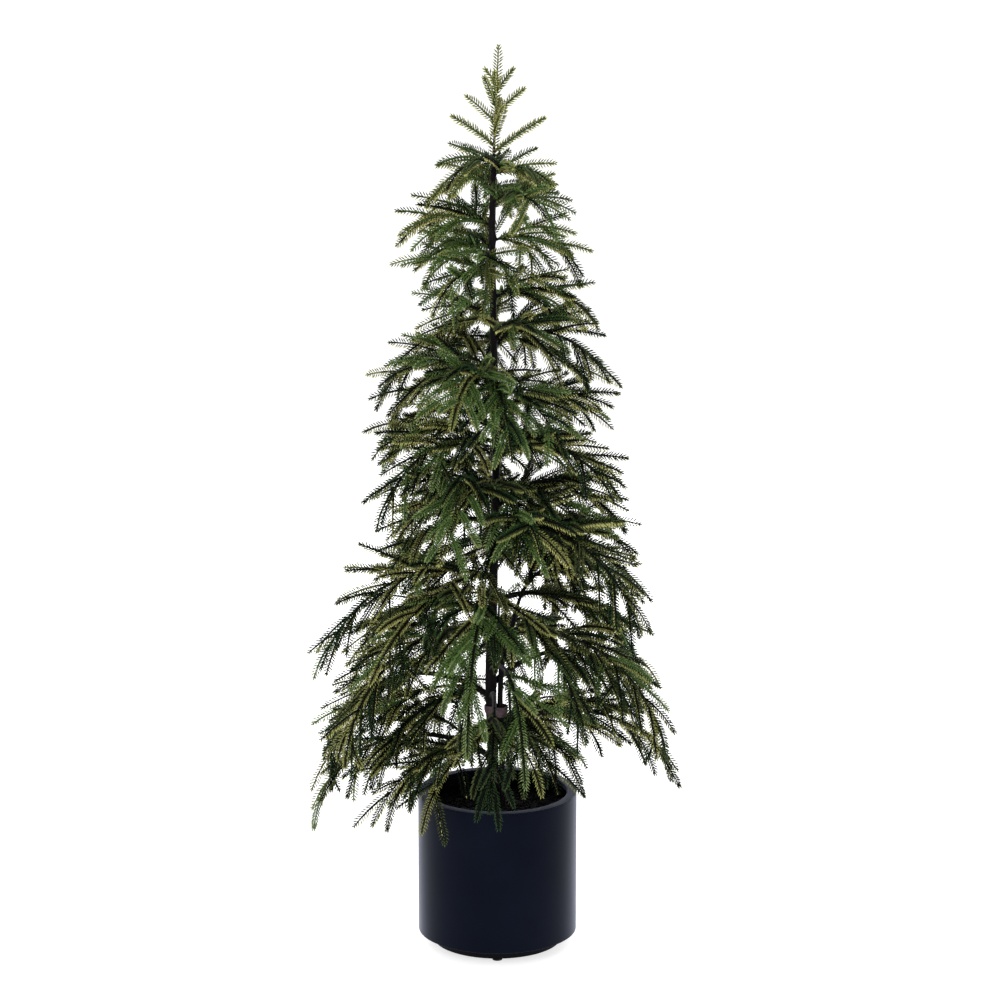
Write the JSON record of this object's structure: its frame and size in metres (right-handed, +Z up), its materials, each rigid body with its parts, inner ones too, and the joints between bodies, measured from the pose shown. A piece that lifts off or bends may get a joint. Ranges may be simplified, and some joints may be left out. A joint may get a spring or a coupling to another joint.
{
  "type": "artificial potted norfolk island pine tree",
  "caption": "Artificial Norfolk Island pine with drooping needle sprays on a slim trunk, in a dark round metal pot.",
  "frame": {"origin": "on the floor under the middle of the pot, which is also the middle of the bounding box", "axes": "+Z up along the trunk, -Y towards the front, +X to the right seen from the front"},
  "size_m": [0.6428, 0.6652, 1.524],
  "materials": {
    "pot_paint": "satin",
    "pad_rubber": "matte",
    "filler": "matte",
    "bark": "matte",
    "tape": "matte",
    "foliage": "matte"
  },
  "bodies": {
    "root": {"base_ring": "pot_paint", "bough_12_1": "bark", "bough_12_2": "bark", "bough_12_3": "bark", "bough_13_1": "bark", "bough_13_2": "bark", "bough_13_3": "bark", "bough_13_4": "bark", "crown_tip": "foliage", "pad_1": "pad_rubber", "pad_2": "pad_rubber", "pad_3": "pad_rubber", "pad_4": "pad_rubber", "pot": "pot_paint", "pot_filler": "filler", "second_stem": "bark", "spray_10_1": "foliage", "spray_10_2": "foliage", "spray_10_3": "foliage", "spray_11_1": "foliage", "spray_11_2": "foliage", "spray_11_3": "foliage", "spray_12_1": "foliage", "spray_12_2": "foliage", "spray_12_3": "foliage", "spray_13_1": "foliage", "spray_13_2": "foliage", "spray_13_3": "foliage", "spray_13_4": "foliage", "spray_1_1": "foliage", "spray_1_2": "foliage", "spray_1_3": "foliage", "spray_2_1": "foliage", "spray_2_2": "foliage", "spray_2_3": "foliage", "spray_3_1": "foliage", "spray_3_2": "foliage", "spray_3_3": "foliage", "spray_4_1": "foliage", "spray_4_2": "foliage", "spray_4_3": "foliage", "spray_5_1": "foliage", "spray_5_2": "foliage", "spray_5_3": "foliage", "spray_5_4": "foliage", "spray_6_1": "foliage", "spray_6_2": "foliage", "spray_6_3": "foliage", "spray_7_1": "foliage", "spray_7_2": "foliage", "spray_7_3": "foliage", "spray_8_1": "foliage", "spray_8_2": "foliage", "spray_8_3": "foliage", "spray_9_1": "foliage", "spray_9_2": "foliage", "spray_9_3": "foliage", "spray_second_stem": "foliage", "tape": "tape", "trunk": "bark"}
  },
  "joints": []
}
